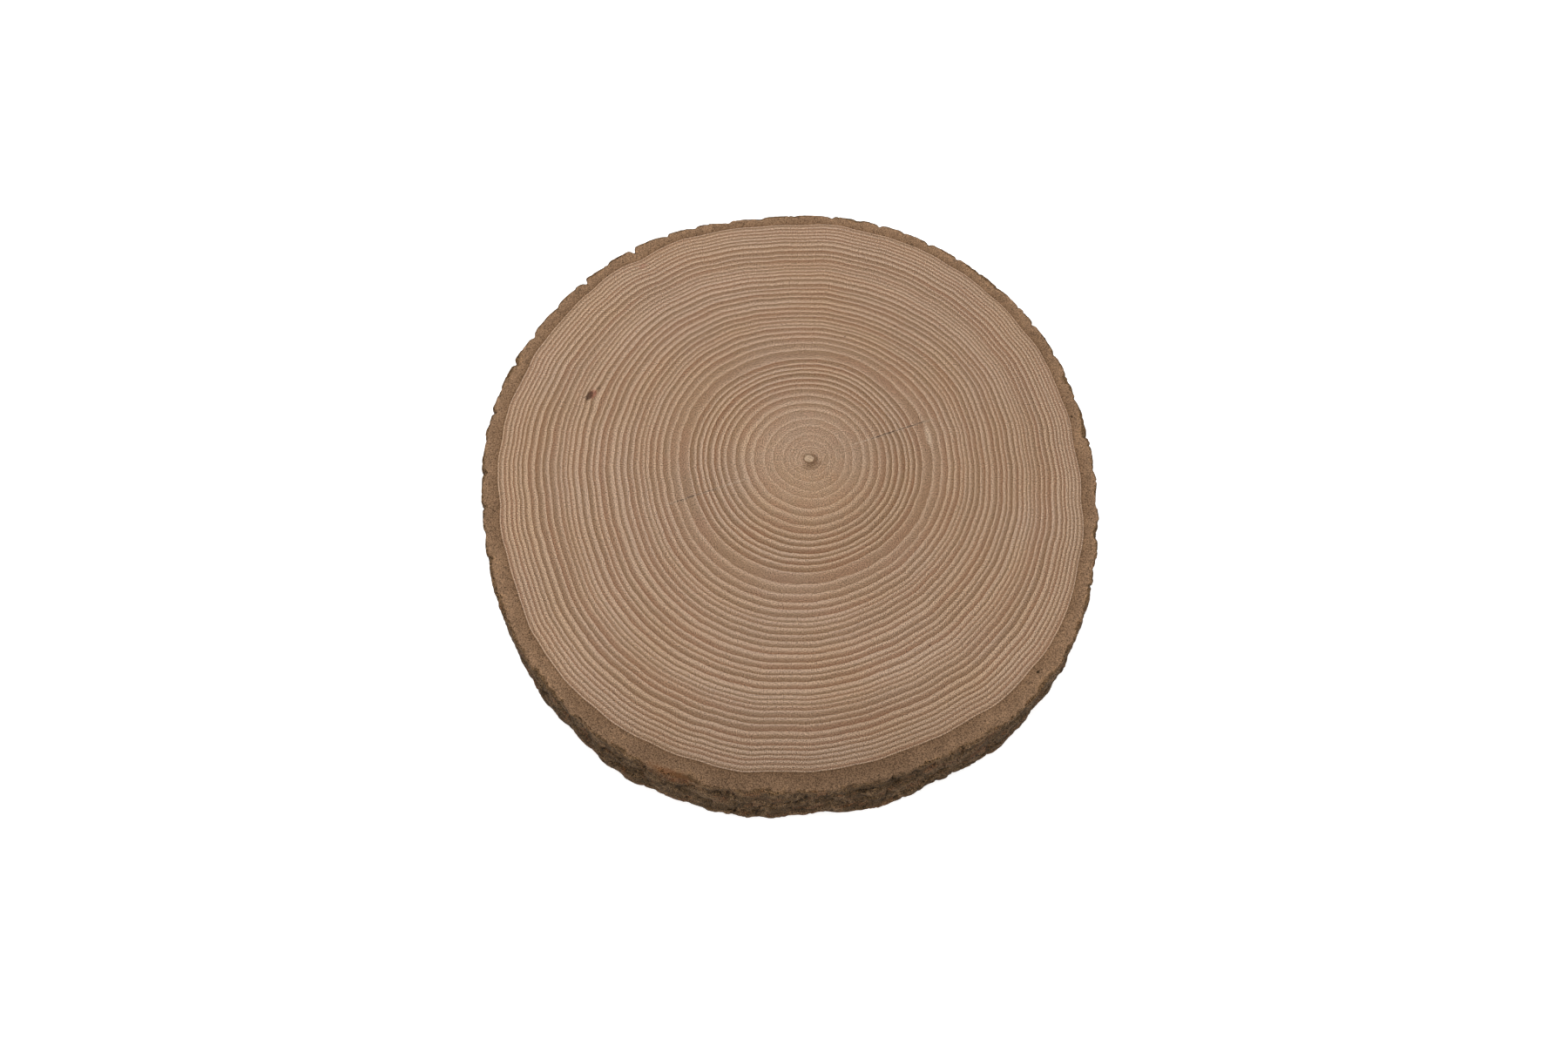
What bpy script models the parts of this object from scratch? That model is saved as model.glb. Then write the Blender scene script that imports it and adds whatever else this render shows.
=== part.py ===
"""A slice sawn across a tree trunk and laid flat: ringed wood inside a rim of rough bark.

Lengths are in metres. Bearings are in degrees about the pith, counter-clockwise from +X as
seen from above. The tree grew faster on one side, so the pith lies away from the middle.
"""
import math
import random

import bmesh
import bpy

MM = 0.001
THICKNESS = 45 * MM

# The wood's outline is a circle with swellings, each (waves round the trunk, height, bearing of a crest)
WOOD_RADIUS = 146.1 * MM
SWELLINGS = (
    (1, 16.0 * MM, 232),
    (2, 2.2 * MM, 95),
    (3, 0.2 * MM, 37),
    (4, 1.7 * MM, 53),
    (5, 0.6 * MM, 26),
    (6, 0.2 * MM, 10),
    (7, 0.4 * MM, 19),
    (8, 0.3 * MM, 36),
)
# Rings inside this radius are round, and outside it they take on the swellings as they grow
ROUND_CORE = 20 * MM
SWELLING_GROWTH = 1.35

# Growth rings that show from a step away, as the mean radii of shallow grooves in the sawn face
RING_RADII = (13 * MM, 27 * MM, 43 * MM, 58 * MM, 72 * MM, 86 * MM, 100 * MM, 114 * MM, 126 * MM, 137 * MM)
GROOVE_WIDTH = 1.4 * MM
GROOVE_DEPTH = 0.4 * MM
PITH_RADIUS = 3 * MM
PITH_DEPTH = 0.8 * MM

# Points round a ring: the small inner rings need fewer
COARSE_POINTS = 48
FINE_POINTS = 96
FINE_RING_RADIUS = 80 * MM

# The bark is thicker on the side that grew faster, and it swells and thins in broad lobes besides, each
# (bearing, height, half width in degrees)
BARK_WIDTH = 7.6 * MM
BARK_WIDTH_SWING = 2.0 * MM
THICK_BARK_BEARING = 262
BARK_LOBES = (
    (105, -0.9 * MM, 12),
    (203, 0.8 * MM, 9),
    (228, -1.2 * MM, 7),
    (306, 1.1 * MM, 13),
    (344, -0.8 * MM, 12),
)

# Furrows that run down the bark between its plates, each (bearing, depth at the sawn face)
FURROWS = (
    (5, 0.8 * MM), (14, 0.5 * MM), (19.5, 0.4 * MM), (25, 0.9 * MM), (33.5, 0.8 * MM), (38.5, 0.2 * MM),
    (45, 0.3 * MM), (50, 0.4 * MM), (56, 0.8 * MM), (63, 0.8 * MM), (69, 0.4 * MM), (74.5, 1.0 * MM),
    (79.5, 0.4 * MM), (85, 0.9 * MM), (93, 0.5 * MM), (100, 0.4 * MM), (107, 0.7 * MM), (114, 0.9 * MM),
    (120, 0.9 * MM), (127.5, 2.8 * MM), (133, 0.2 * MM), (139, 2.2 * MM), (146.5, 0.4 * MM),
    (154, 1.2 * MM), (160.5, 1.5 * MM), (166, 0.2 * MM), (170.8, 1.9 * MM), (176, 1.0 * MM),
    (182.7, 1.4 * MM), (189.3, 1.6 * MM), (194, 0.2 * MM), (199, 1.2 * MM), (205, 0.3 * MM),
    (211, 0.4 * MM), (216.5, 1.6 * MM), (222, 0.8 * MM), (227, 1.2 * MM), (232, 1.2 * MM),
    (237.5, 0.6 * MM), (243, 1.4 * MM), (251, 1.4 * MM), (256.5, 0.8 * MM), (262, 1.4 * MM),
    (267, 0.7 * MM), (272, 1.2 * MM), (277.5, 0.8 * MM), (284, 0.6 * MM), (291, 1.2 * MM),
    (295.5, 0.5 * MM), (300.5, 1.2 * MM), (307, 0.6 * MM), (314, 1.4 * MM), (321, 0.7 * MM),
    (325, 0.5 * MM), (329, 0.8 * MM), (333, 0.5 * MM), (337, 0.7 * MM), (344, 0.8 * MM),
    (350, 0.9 * MM), (357.5, 0.5 * MM),
)
FURROW_DEEPENING = 0.5 * MM
FURROW_LEAN = 1.1

# A plate of bark: where its points lie from one furrow to the next, and how far its crown stands out
PLATE_POINTS = (0.0, 0.12, 0.38, 0.62, 0.88)
CROWN_PER_WIDTH = 0.06
CROWN_LIMIT = 0.7 * MM

# Two cracks cross each plate at heights of its own and leave three blocks, one above the other
CRACK_HEIGHTS = (0.33, 0.68)
CRACK_SCATTER = 0.14
CRACK_HALF_HEIGHT = 1.2 * MM
CRACK_DEPTHS = (0.1 * MM, 1.2 * MM)
BLOCK_SCATTER = 0.4 * MM
FOOT_CHIP = 0.5 * MM

WOOD_SLOT = 0
BARK_SLOT = 1
SEED = 41


def clear_scene():
    for old in list(bpy.data.objects):
        bpy.data.objects.remove(old, do_unlink=True)


def make_material(name, colour, roughness):
    material = bpy.data.materials.new(name)
    material.use_nodes = True
    shader = material.node_tree.nodes["Principled BSDF"]
    shader.inputs["Base Color"].default_value = (*colour, 1.0)
    shader.inputs["Roughness"].default_value = roughness
    shader.inputs["Metallic"].default_value = 0.0
    return material


def ring_radius(mean, bearing):
    """A growth ring's radius at a bearing: its mean radius plus its share of the trunk's swellings."""
    share = max(0.0, (mean - ROUND_CORE) / (WOOD_RADIUS - ROUND_CORE)) ** SWELLING_GROWTH
    swelling = sum(
        height * math.cos(math.radians(waves * (bearing - crest)))
        for waves, height, crest in SWELLINGS
    )
    return mean + share * swelling


def bark_radius(bearing):
    """The bark's outside, before its plates are shaped."""
    width = BARK_WIDTH + BARK_WIDTH_SWING * math.cos(math.radians(bearing - THICK_BARK_BEARING))
    for middle, height, half_width in BARK_LOBES:
        away = (bearing - middle + 180) % 360 - 180
        width += height * math.exp(-(away / half_width) ** 2)
    return ring_radius(WOOD_RADIUS, bearing) + width


def add_point(mesh, bearing, radius, height):
    angle = math.radians(bearing)
    return mesh.verts.new((radius * math.cos(angle), radius * math.sin(angle), height))


def add_ring(mesh, mean, bearings, height):
    return [add_point(mesh, bearing, ring_radius(mean, bearing), height) for bearing in bearings]


def add_face(mesh, corners, slot):
    mesh.faces.new(corners).material_index = slot


def add_fan(mesh, rim, centre, slot):
    for i, point in enumerate(rim):
        add_face(mesh, (point, rim[(i + 1) % len(rim)], centre), slot)


def join_rows(mesh, lower, upper, slot):
    """Quads between two closed rows with the same number of points, facing away from the pith."""
    for i in range(len(lower)):
        j = (i + 1) % len(lower)
        add_face(mesh, (lower[i], lower[j], upper[j], upper[i]), slot)


def join_rings(mesh, outer, inner, outer_bearings, inner_bearings, slot):
    """Upward triangles between two rings of points, each ring's bearings rising once round."""
    outer_ends = [*outer_bearings[1:], outer_bearings[0] + 360]
    inner_ends = [*inner_bearings[1:], inner_bearings[0] + 360]
    i = j = 0
    while i < len(outer) or j < len(inner):
        outer_here = outer[i % len(outer)]
        inner_here = inner[j % len(inner)]
        if j == len(inner) or (i < len(outer) and outer_ends[i] <= inner_ends[j]):
            i += 1
            add_face(mesh, (outer_here, outer[i % len(outer)], inner_here), slot)
        else:
            j += 1
            add_face(mesh, (outer_here, inner[j % len(inner)], inner_here), slot)


def make_plates():
    """Each plate of bark from its furrow to the next one, with its cracks and blocks drawn by lot."""
    rng = random.Random(SEED)
    ends = [bearing for bearing, _ in FURROWS[1:]] + [FURROWS[0][0] + 360]
    plates = []
    for (start, depth), end in zip(FURROWS, ends):
        arc = math.radians(end - start) * bark_radius((start + end) / 2)
        plates.append({
            "start": start,
            "span": end - start,
            "furrow": depth,
            "lean": rng.uniform(-FURROW_LEAN, FURROW_LEAN),
            "crown": min(CROWN_LIMIT, CROWN_PER_WIDTH * arc),
            "cracks": [THICKNESS * (h + rng.uniform(-CRACK_SCATTER, CRACK_SCATTER)) for h in CRACK_HEIGHTS],
            "crack_depths": [rng.uniform(*CRACK_DEPTHS) for _ in CRACK_HEIGHTS],
            "blocks": [rng.uniform(-BLOCK_SCATTER, BLOCK_SCATTER) for _ in CRACK_HEIGHTS],
            "foot": rng.uniform(0.0, FOOT_CHIP),
        })
    return plates


def plate_rows(plate):
    """The heights of a plate's rows from its foot to the sawn face, each with how far it stands out."""
    low, high = plate["cracks"]
    low_depth, high_depth = plate["crack_depths"]
    low_block, middle_block = plate["blocks"]
    gap = CRACK_HALF_HEIGHT
    return [
        (0.0, low_block - plate["foot"]),
        (low / 2, low_block),
        (low - gap, low_block),
        (low, min(low_block, middle_block) - low_depth),
        (low + gap, middle_block),
        (high - gap, middle_block),
        (high, min(middle_block, 0.0) - high_depth),
        (high + gap, 0.0),
        (THICKNESS, 0.0),
    ]


def bark_columns():
    """Every column of the bark's side, as its bearing at the sawn face and its points from the foot up."""
    plates = make_plates()
    columns = []
    for index, plate in enumerate(plates):
        rows = plate_rows(plate)
        rows_before = plate_rows(plates[index - 1])
        next_lean = plates[(index + 1) % len(plates)]["lean"]
        for place in PLATE_POINTS:
            bearing = plate["start"] + place * plate["span"]
            lean = plate["lean"] + place * (next_lean - plate["lean"])
            column = []
            for (height, stand), (height_before, _) in zip(rows, rows_before):
                if place == PLATE_POINTS[0]:
                    height = (height + height_before) / 2
                    stand = -plate["furrow"] - FURROW_DEEPENING * (1 - height / THICKNESS)
                crown = plate["crown"] * 4 * place * (1 - place)
                leaning = bearing + lean * (1 - height / THICKNESS)
                column.append((leaning, bark_radius(leaning) + stand + crown, height))
            columns.append((bearing, column))
    return columns


def add_bark(mesh):
    """The bark's side, row above row. Returns its lowest row, its highest and the highest's bearings."""
    columns = bark_columns()
    levels = range(len(columns[0][1]))
    rows = [[add_point(mesh, *column[level]) for _, column in columns] for level in levels]
    for lower, upper in zip(rows, rows[1:]):
        join_rows(mesh, lower, upper, BARK_SLOT)
    return rows[0], rows[-1], [bearing for bearing, _ in columns]


def add_sawn_face(mesh, rim, rim_bearings):
    """The upper face: the bark's sawn rim, then groove after groove from the last ring to the pith."""
    half = GROOVE_WIDTH / 2
    outer = rim
    outer_bearings = rim_bearings
    slot = BARK_SLOT
    for mean in (WOOD_RADIUS, *reversed(RING_RADII)):
        count = FINE_POINTS if mean > FINE_RING_RADIUS else COARSE_POINTS
        bearings = [360 * i / count for i in range(count)]
        outer_lip = add_ring(mesh, mean + half, bearings, THICKNESS)
        floor = add_ring(mesh, mean, bearings, THICKNESS - GROOVE_DEPTH)
        inner_lip = add_ring(mesh, mean - half, bearings, THICKNESS)
        join_rings(mesh, outer, outer_lip, outer_bearings, bearings, slot)
        slot = WOOD_SLOT
        join_rings(mesh, outer_lip, floor, bearings, bearings, slot)
        join_rings(mesh, floor, inner_lip, bearings, bearings, slot)
        outer = inner_lip
        outer_bearings = bearings
    pith_edge = add_ring(mesh, PITH_RADIUS, outer_bearings, THICKNESS)
    join_rings(mesh, outer, pith_edge, outer_bearings, outer_bearings, slot)
    add_fan(mesh, pith_edge, add_point(mesh, 0, 0, THICKNESS - PITH_DEPTH), slot)


def centre_on_origin(mesh):
    """Moves the slice so that the middle of its box in plan stands on the origin."""
    xs = [vertex.co.x for vertex in mesh.verts]
    ys = [vertex.co.y for vertex in mesh.verts]
    shift = (-(min(xs) + max(xs)) / 2, -(min(ys) + max(ys)) / 2, 0.0)
    bmesh.ops.translate(mesh, verts=mesh.verts, vec=shift)


def build_slice():
    mesh = bmesh.new()
    foot, rim, rim_bearings = add_bark(mesh)
    add_sawn_face(mesh, rim, rim_bearings)
    # The lower sawn face is one flat fan, so its points run the other way round
    add_fan(mesh, foot[::-1], add_point(mesh, 0, 0, 0), WOOD_SLOT)
    centre_on_origin(mesh)
    data = bpy.data.meshes.new("wood_slice")
    mesh.to_mesh(data)
    mesh.free()
    return data


def main():
    clear_scene()
    data = build_slice()
    data.materials.append(make_material("sawn_wood", (0.36, 0.24, 0.16), 0.7))
    data.materials.append(make_material("bark", (0.12, 0.08, 0.05), 0.9))
    data.shade_smooth()
    data.set_sharp_from_angle(angle=math.radians(25))
    wood_slice = bpy.data.objects.new("wood_slice", data)
    bpy.context.scene.collection.objects.link(wood_slice)


main()
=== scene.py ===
import math
import random

import bpy
import numpy as np
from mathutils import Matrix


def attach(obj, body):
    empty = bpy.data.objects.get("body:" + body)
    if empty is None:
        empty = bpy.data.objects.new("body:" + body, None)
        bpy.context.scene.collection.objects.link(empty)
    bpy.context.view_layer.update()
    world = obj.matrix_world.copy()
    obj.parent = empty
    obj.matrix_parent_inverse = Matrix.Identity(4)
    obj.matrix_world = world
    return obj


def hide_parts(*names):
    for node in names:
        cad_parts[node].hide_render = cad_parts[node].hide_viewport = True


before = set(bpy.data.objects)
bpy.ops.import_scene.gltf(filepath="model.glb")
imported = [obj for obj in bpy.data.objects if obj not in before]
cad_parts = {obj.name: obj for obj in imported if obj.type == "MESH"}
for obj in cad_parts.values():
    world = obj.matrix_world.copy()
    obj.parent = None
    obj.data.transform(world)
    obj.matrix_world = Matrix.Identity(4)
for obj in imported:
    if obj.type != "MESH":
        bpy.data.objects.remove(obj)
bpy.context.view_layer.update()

# A slice sawn across a tree trunk: ringed wood inside a rim of rough bark, on a pale studio floor.
# Lengths are metres, written as so many mm. Bearings are degrees round the pith, counter-clockwise from +X
# as seen from above.
mm = 0.001
thickness = 45 * mm
lightGain = 1.45  # how much brighter than its own colour a level surface shows under these lights


# A surface colour from the 8-bit screen colour it should show: the linear value over the light's gain
def surface(red, green, blue):
    levels = [((level / 255 + 0.055) / 1.055) ** 2.4 for level in (red, green, blue)]
    return (*[level / lightGain for level in levels], 1.0)


# The cosine of an angle in degrees
def cosine(degrees):
    return np.cos(np.radians(degrees))


# The turn from one bearing to another by the shorter way, from -180 to 180 degrees
def turnFrom(place, bearing):
    return (bearing - place + 180) % 360 - 180


# An eased step from 0 at low to 1 at high: 3t^2 - 2t^3
def ease(value, low, high):
    t = np.clip((value - low) / (high - low), 0, 1)
    return t * t * (3 - 2 * t)


# Smooth noise from -1 to 1 on a lattice that closes round: random heights joined by eased blends.
# around and up run from 0 to 1 over the whole lattice.
def softNoise(around, up, cellsAround, cellsUp, seed):
    heights = np.random.RandomState(seed).uniform(-1, 1, (cellsUp + 2, cellsAround))
    a, u = around * cellsAround, np.clip(up, 0, 1) * cellsUp
    column, row = np.floor(a).astype(int), np.floor(u).astype(int)
    s, t = ease(a - column, 0, 1), ease(u - row, 0, 1)
    left, right = column % cellsAround, (column + 1) % cellsAround
    low = heights[row, left] * (1 - s) + heights[row, right] * s
    high = heights[row + 1, left] * (1 - s) + heights[row + 1, right] * s
    return low * (1 - t) + high * t


# Layers of smooth noise, each half as strong and twice as fine as the one before
def layeredNoise(around, up, cellsAround, cellsUp, layers, seed):
    total = 0
    for layer in range(layers):
        finer = 2 ** layer
        total = total + softNoise(around, up, cellsAround * finer, cellsUp * finer, seed + layer) / finer
    return total


# Scales from a jittered lattice that closes round. Gives how far each place is from the border between
# its two nearest seeds, second distance minus first, and the nearest seed's own random number.
def scaleCells(around, up, cellsAround, cellsUp, seed):
    lot = np.random.RandomState(seed)
    shiftAcross, shiftUp, number = lot.uniform(0, 1, (3, cellsUp + 3, cellsAround))
    a, u = around * cellsAround, np.clip(up, 0, 1) * cellsUp
    column, row = np.floor(a).astype(int), np.floor(u).astype(int)
    first = np.full(a.shape, 9.0)
    second = np.full(a.shape, 9.0)
    tone = np.zeros(a.shape)
    for i in (-1, 0, 1):
        for j in (-1, 0, 1):
            r, c = row + i + 1, (column + j) % cellsAround
            distance = np.hypot(column + j + shiftAcross[r, c] - a, row + i + shiftUp[r, c] - u)
            second = np.minimum(second, np.maximum(first, distance))
            tone = np.where(distance < first, number[r, c], tone)
            first = np.minimum(first, distance)
    return second - first, tone


trunk = {
    "pith": (10.55 * mm, 14.97 * mm),
    "woodRadius": 146.1 * mm,
    "roundCore": 20 * mm,  # rings inside this radius are round
    "growth": 1.35,  # how late the swellings come as the rings grow
    "swellings": (  # waves round the trunk, height in mm, bearing of a crest
        (1, 16.0, 232),
        (2, 2.2, 95),
        (3, 0.2, 37),
        (4, 1.7, 53),
        (5, 0.6, 26),
        (6, 0.2, 10),
        (7, 0.4, 19),
        (8, 0.3, 36),
    ),
    "midLife": (3, 1.4, 10),  # a swelling of the rings half way out, gone again at the bark
    "bulges": (  # bearing, height in mm, half width in degrees, mean radius of its middle, reach in mm
        (32, -2.1, 26, 51, 17), (178, 1.6, 30, 46, 24), (245, -1.4, 24, 42, 30), (72, 1.4, 24, 62, 22),
        (122, -1.2, 17, 60, 13), (36, 1.8, 19, 95, 21), (315, -1.2, 15, 112, 24), (345, 0.8, 12, 88, 16),
        (272, 0.9, 18, 86, 12), (104, -1.0, 14, 112, 22), (180, 1.1, 14, 130, 9), (240, -0.9, 22, 120, 18),
        (0, -1.1, 20, 36, 16), (165, -0.9, 12, 100, 16),
    ),
    "ripples": range(9, 34, 2),  # finer waves that run through many rings
    "rippleHeight": 0.12 * mm,
    "furrowDip": 0.25,  # how much of a bark furrow's depth shows in the last rings
    "furrowWidth": 1.9,  # degrees
    "furrowBegins": 108,  # mean radius from which the rings follow the furrows
    "pinches": (  # bearing, depth in mm, width in degrees, mean radius where it begins
        (127.5, -0.6, 4, 112),
        (193, 0.9, 5, 100),
        (318, 0.8, 8, 90),
        (251, -0.5, 4, 118),
    ),
    "seed": 12,
}


# A growth ring's radius: its mean radius plus its share of the trunk's swellings, where the share is
# ((mean - core) / (wood - core)) ^ growth
def ringRadius(mean, bearing):
    core = trunk["roundCore"]
    share = np.clip((mean - core) / (trunk["woodRadius"] - core), 0, None) ** trunk["growth"]
    swelling = sum(
        height * mm * cosine(waves * (bearing - crest)) for waves, height, crest in trunk["swellings"]
    )
    return mean + share * swelling


# The same ring with what shows close up: a swelling that comes and goes, bulges, ripples and pinches
def grownRadius(mean, bearing):
    core = trunk["roundCore"]
    share = np.clip((mean - core) / (trunk["woodRadius"] - core), 0, 1)
    waves, height, crest = trunk["midLife"]
    midLife = 4 * share * (1 - share) * height * mm * cosine(waves * (bearing - crest))
    radius = ringRadius(mean, bearing) + midLife
    for place, height, width, middle, reach in trunk["bulges"]:
        away = turnFrom(place, bearing) / width
        radius = radius + height * mm * np.exp(-away ** 2 - ((mean / mm - middle) / reach) ** 2)
    lot = random.Random(trunk["seed"])
    for waves in trunk["ripples"]:
        start, drift = lot.uniform(0, 360), lot.uniform(-90, 90)
        ripple = cosine(waves * bearing + start + drift * share)
        radius = radius + share ** 1.5 * trunk["rippleHeight"] * ripple
    pinches = list(trunk["pinches"])
    for place, depth in bark["furrows"]:
        pinches.append((place, -depth * trunk["furrowDip"], trunk["furrowWidth"], trunk["furrowBegins"]))
    for place, depth, width, begins in pinches:
        away = turnFrom(place, bearing) / width
        grown = ease(mean, begins * mm, trunk["woodRadius"])
        radius = radius + depth * mm * np.exp(-away ** 2) * grown
    return radius


bark = {
    "width": 7.6 * mm,
    "widthSwing": 2.0 * mm,
    "thickBearing": 262,  # where the swing adds most
    "lobes": (  # bearing, height in mm, half width in degrees
        (105, -0.9, 12),
        (203, 0.8, 9),
        (228, -1.2, 7),
        (306, 1.1, 13),
        (344, -0.8, 12),
    ),
    "furrows": (  # bearing, depth in mm at the sawn face
        (5, 0.8), (14, 0.5), (19.5, 0.4), (25, 0.9), (33.5, 0.8), (38.5, 0.2), (45, 0.3), (50, 0.4),
        (56, 0.8), (63, 0.8), (69, 0.4), (74.5, 1.0), (79.5, 0.4), (85, 0.9), (93, 0.5), (100, 0.4),
        (107, 0.7), (114, 0.9), (120, 0.9), (127.5, 2.8), (133, 0.2), (139, 2.2), (146.5, 0.4),
        (154, 1.2), (160.5, 1.5), (166, 0.2), (170.8, 1.9), (176, 1.0), (182.7, 1.4), (189.3, 1.6),
        (194, 0.2), (199, 1.2), (205, 0.3), (211, 0.4), (216.5, 1.6), (222, 0.8), (227, 1.2), (232, 1.2),
        (237.5, 0.6), (243, 1.4), (251, 1.4), (256.5, 0.8), (262, 1.4), (267, 0.7), (272, 1.2),
        (277.5, 0.8), (284, 0.6), (291, 1.2), (295.5, 0.5), (300.5, 1.2), (307, 0.6), (314, 1.4),
        (321, 0.7), (325, 0.5), (329, 0.8), (333, 0.5), (337, 0.7), (344, 0.8), (350, 0.9), (357.5, 0.5),
    ),
    "furrowDeepening": 0.5 * mm,  # how much deeper a furrow is at the foot
    "furrowLean": 1.1,  # degrees that a furrow may lean by the foot
    "platePoints": (0.0, 0.12, 0.38, 0.62, 0.88),  # places across a plate, the first in its furrow
    "plateSteps": (3, 5, 4, 5, 3),  # columns of the finished surface from each of those points to the next
    "crownPerWidth": 0.06,  # how high a plate arches for its width
    "crownLimit": 0.7 * mm,
    "crackHeights": (0.33, 0.68),  # where the cracks cross a plate, as shares of the thickness
    "crackScatter": 0.14,
    "crackHalfHeight": 1.2 * mm,
    "crackDepths": (0.1 * mm, 1.2 * mm),
    # Rows from the foot to the sawn face, between a plate's levels
    "levelSteps": (6, 5, 2, 2, 10, 2, 2, 10),
    "blockScatter": 0.4 * mm,
    "footChip": 0.5 * mm,
    "frameSeed": 41,
    "softSide": 275,  # the bearing about which the furrows are wide, gentle hollows
    "softReach": (0, 5),  # columns on each side that a furrow is spread over, elsewhere and there
    "warp": (0.003, 0.10),  # how far the scales are bent, as shares of the way round and of the height
    "fissures": (110, 2),  # cells of the noise whose zero lines are the fissures, round and up
    "fissureWidth": 0.12,  # in that noise's own units
    "fissureDepth": 1.1 * mm,
    "scales": (165, 8),  # scales round the slice, and from foot to face
    "scaleBorder": 0.30,  # width of the cracks between them, in scales
    "scaleCrack": 0.4 * mm,
    "scaleLift": 0.45 * mm,
    "rugged": 0.42 * mm,
    "grain": 0.35 * mm,
    "footLobes": (32, 2.0 * mm),  # cells of noise round the foot, and how far it swings
    "edgeChip": 0.35 * mm,
    "edgeChipReach": 2.5 * mm,
    "lip": 0.35 * mm,  # width of the worn edge between the sawn face and the side
    "proud": 0.4 * mm,  # how far the finished surface stands out of the plates, to make up for its pits
    "edgeCalm": (0.3, 0.4),  # how much calmer the surface is at the edge, and how much more so at the back
    "edgeCalmReach": 9 * mm,
    "footCalm": 0.6,
    "footCalmReach": 7 * mm,
    "backSide": 100,  # the bearing of the middle of the back
    "backFlat": 0.6,  # how much lower the plates arch there
    "sawSide": 150,  # the bearing about which the sawn edge steps from plate to plate
    "sawtooth": 0.45 * mm,  # how far a plate there stands out at its end and lies back at its start
    "faceRows": 10,
    "footRows": 7,
    "faceDrops": (0.07 * mm, 0.25 * mm),  # how low the sawn rim lies by its grain, and by its chips
    "chipDrop": 0.3 * mm,  # how much lower the worn edge lies at a chip
    "footRise": 0.3 * mm,
    "tuck": 0.3 * mm,  # how far the ring of bark reaches in under the wood
    "mapStrips": 4,  # pieces that the ring is cut into on the bake's map
    "mapMargin": 0.004,
    "seed": 90,
}


# The bark's outside before its plates are shaped: the wood's radius plus a width that swings round the
# trunk, and swells and thins in broad lobes
def barkRadius(bearing):
    width = bark["width"] + bark["widthSwing"] * cosine(bearing - bark["thickBearing"])
    for middle, height, halfWidth in bark["lobes"]:
        away = turnFrom(middle, bearing) / halfWidth
        width = width + height * mm * np.exp(-away ** 2)
    return ringRadius(trunk["woodRadius"], bearing) + width


# Corners of the quads between the rows of a grid whose columns close round, as rows and as columns
def gridCorners(rowSteps, columns):
    row, column = np.meshgrid(np.arange(rowSteps), np.arange(columns), indexing="ij")
    cornerRows = np.stack([row, row + 1, row + 1, row], axis=-1).reshape(-1, 4)
    cornerColumns = np.stack([column, column, column + 1, column + 1], axis=-1).reshape(-1, 4)
    return cornerRows, cornerColumns


# Puts whole arrays into a mesh: points, faces of four and of three corners, a number at each point for
# each name, and the place of each corner on the bake's map
def makePiece(name, points, quads, triangles, values, mapPlaces, sharpAngle):
    mesh = bpy.data.meshes.new(name)
    corners = np.concatenate([quads.ravel(), triangles.ravel()])
    sizes = np.concatenate([np.full(len(quads), 4), np.full(len(triangles), 3)])
    mesh.vertices.add(len(points))
    mesh.vertices.foreach_set("co", points.astype(np.float32).ravel())
    mesh.loops.add(len(corners))
    mesh.loops.foreach_set("vertex_index", corners.astype(np.int32))
    mesh.polygons.add(len(sizes))
    mesh.polygons.foreach_set("loop_start", (np.cumsum(sizes) - sizes).astype(np.int32))
    mesh.update(calc_edges=True)
    for label, numbers in values.items():
        attributes = mesh.attributes.new(label, "FLOAT", "POINT").data
        attributes.foreach_set("value", numbers.astype(np.float32).ravel())
    mesh.uv_layers.new(name="OFBake").data.foreach_set("uv", mapPlaces.astype(np.float32).ravel())
    mesh.shade_smooth()
    mesh.set_sharp_from_angle(angle=math.radians(sharpAngle))
    piece = bpy.data.objects.new(name, mesh)
    bpy.context.scene.collection.objects.link(piece)
    return piece


# Points from bearings, radii and heights: x = r cos b, y = r sin b about the pith
def placePoints(bearing, radius, height):
    angle = np.radians(bearing)
    x = trunk["pith"][0] + radius * np.cos(angle)
    y = trunk["pith"][1] + radius * np.sin(angle)
    return np.stack([x, y, height + 0 * radius], axis=-1)


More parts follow.
